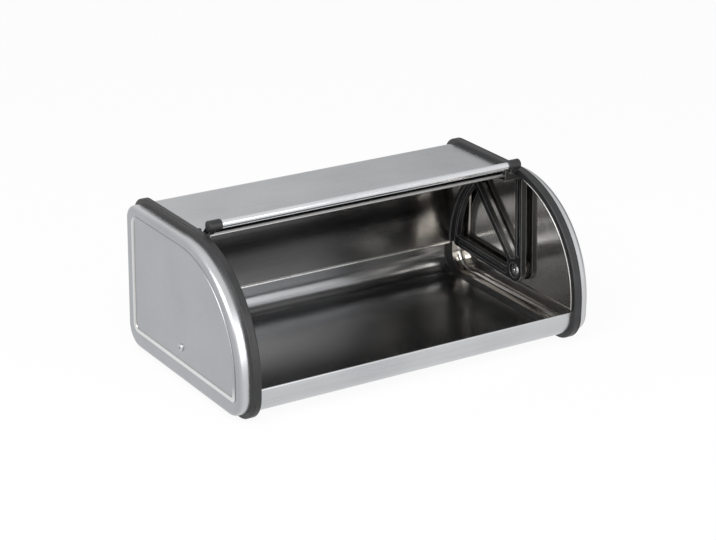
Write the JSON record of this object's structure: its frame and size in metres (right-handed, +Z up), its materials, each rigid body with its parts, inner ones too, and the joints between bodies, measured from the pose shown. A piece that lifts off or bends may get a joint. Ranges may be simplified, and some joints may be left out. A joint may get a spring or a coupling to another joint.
{
  "type": "roll-top bread box",
  "caption": "Roll-top bread box: a sheet metal box on two black trim rings with deep drawn end caps, and a quarter-round lid that turns back inside it by a bar handle.",
  "frame": {"origin": "on the table, under the middle of the box", "axes": "+X along the box, +Y from the open front to the back, +Z up; the lid is stored open"},
  "size_m": [0.4494, 0.259, 0.1865],
  "materials": {
    "shell_steel": "brushed lengthwise",
    "cap_steel": "fine satin",
    "lid_steel": "smooth",
    "bright_steel": "polished",
    "ring_plastic": "satin black",
    "arm_plastic": "satin black",
    "nylon": "natural nylon",
    "rubber": "matt"
  },
  "bodies": {
    "box": {"body_shell": "shell_steel", "left_end_cap": "cap_steel", "right_end_cap": "cap_steel", "left_trim_ring": "ring_plastic", "right_trim_ring": "ring_plastic", "left_pivot_screw": "bright_steel", "right_pivot_screw": "bright_steel", "left_pivot_nut": "bright_steel", "right_pivot_nut": "bright_steel", "left_inner_washer": "bright_steel", "right_inner_washer": "bright_steel", "left_outer_washer": "nylon", "right_outer_washer": "nylon", "left_pivot_sleeve": "nylon", "right_pivot_sleeve": "nylon", "left_stop_bumper": "rubber", "right_stop_bumper": "rubber"},
    "lid": {"lid_sheet": "lid_steel", "handle_bar": "bright_steel", "left_lid_arm": "arm_plastic", "right_lid_arm": "arm_plastic"}
  },
  "joints": [
    {"name": "lid_pivot", "type": "hinge", "parent": "box", "child": "lid", "pos_m": [0, 0, 0.044], "axis": [1, 0, 0], "range_deg": [0, 90]}
  ]
}
